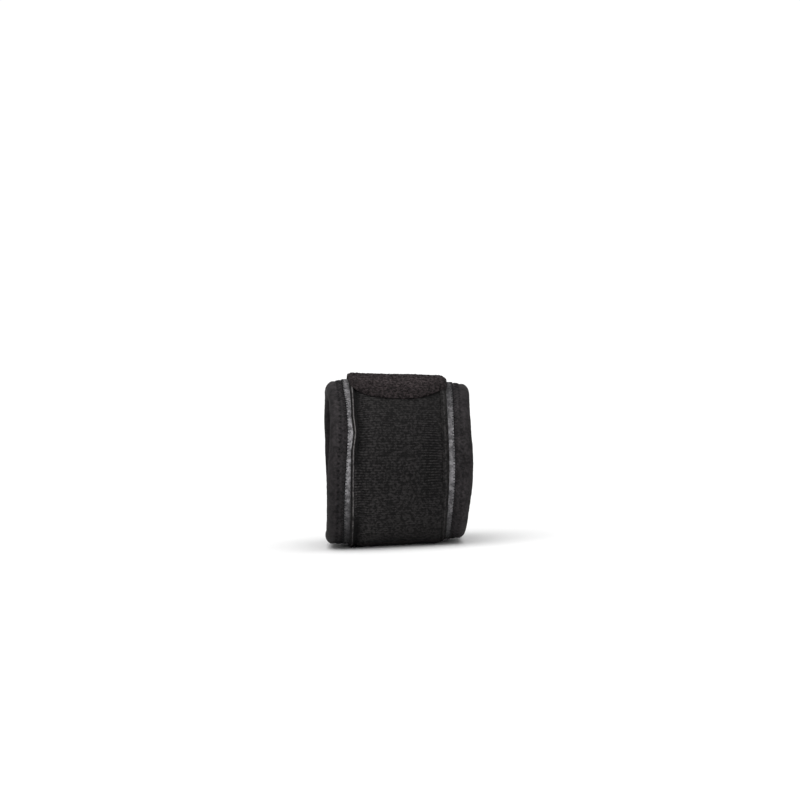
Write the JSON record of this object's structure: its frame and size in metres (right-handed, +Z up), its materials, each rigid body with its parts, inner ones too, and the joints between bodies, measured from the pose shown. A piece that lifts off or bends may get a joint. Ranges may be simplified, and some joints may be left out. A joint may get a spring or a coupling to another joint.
{
  "type": "tennis elbow strap",
  "caption": "Padded forearm cuff with bound edges and a fastened knit tension strap, lying on its side with the arm hollow open.",
  "frame": {"origin": "middle of the flat underside that the cuff rests on", "axes": "+X along the forearm towards the wrist edge, -Y to the front face that the tab closes on, +Z up"},
  "size_m": [0.0827, 0.1036, 0.0965],
  "materials": {
    "foam_lining": "fine black knit over foam, matte",
    "edge_binding": "smooth black stretch binding, soft sheen",
    "grey_loop": "brushed mid-grey loop cloth, matte",
    "black_knit": "fine ribbed black knit, matte",
    "hook_pile": "coarse looped brownish black pile, matte"
  },
  "bodies": {
    "root": {"foam_band": "foam_lining", "elbow_edge_binding": "edge_binding", "wrist_edge_binding": "edge_binding", "grey_panel": "grey_loop", "tension_strap": "black_knit", "elbow_side_welt": "black_knit", "wrist_side_welt": "black_knit", "hook_tab": "hook_pile"}
  },
  "joints": []
}
